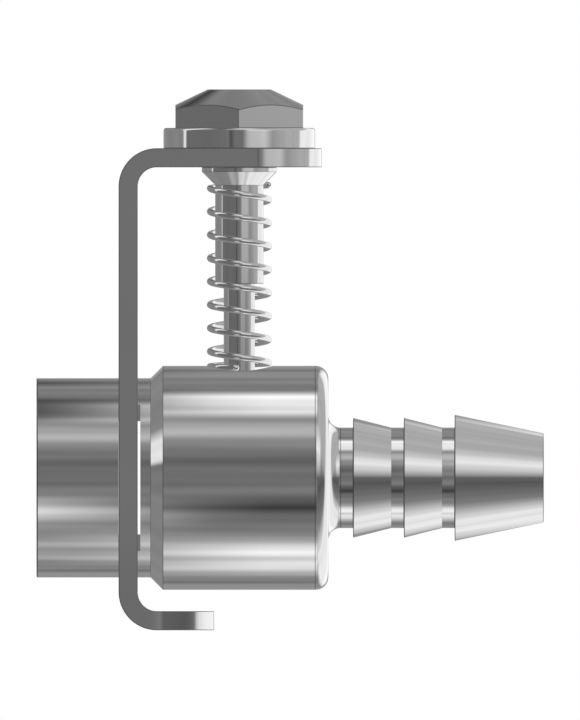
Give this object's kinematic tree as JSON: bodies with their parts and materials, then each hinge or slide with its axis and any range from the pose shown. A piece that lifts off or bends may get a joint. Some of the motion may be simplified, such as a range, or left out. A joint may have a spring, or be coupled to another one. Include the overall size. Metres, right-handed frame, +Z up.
{
  "type": "hose barb quick coupling",
  "caption": "Metal quick coupling socket with a sprung thumb latch plate across its bore and a barbed stem for a hose.",
  "frame": {"origin": "middle of the socket's mouth, on the flow axis", "axes": "+X along the flow axis to the hose barb, +Z up to the thumb button, +Y across"},
  "size_m": [0.0575, 0.027, 0.0613],
  "materials": {
    "body_steel": "turned and polished stainless steel",
    "plate_steel": "tumbled stainless steel strip",
    "button_steel": "turned stainless steel",
    "guide_steel": "turned and polished stainless steel",
    "spring_steel": "drawn stainless spring wire",
    "seal_rubber": "moulded black seal rubber"
  },
  "bodies": {
    "coupler": {"coupler_body": "body_steel", "seal_ring": "seal_rubber", "guide_post": "guide_steel", "return_spring": "spring_steel"},
    "latch": {"latch_plate": "plate_steel", "guide_sleeve": "guide_steel", "button_cap": "button_steel"}
  },
  "joints": [
    {"name": "latch_press", "type": "slide", "parent": "coupler", "child": "latch", "axis": [0, 0, -1], "range_m": [0, 0.00982], "stiffness_N_per_m": 1110, "springref_m": -0.006, "deforming": ["return_spring"]}
  ]
}
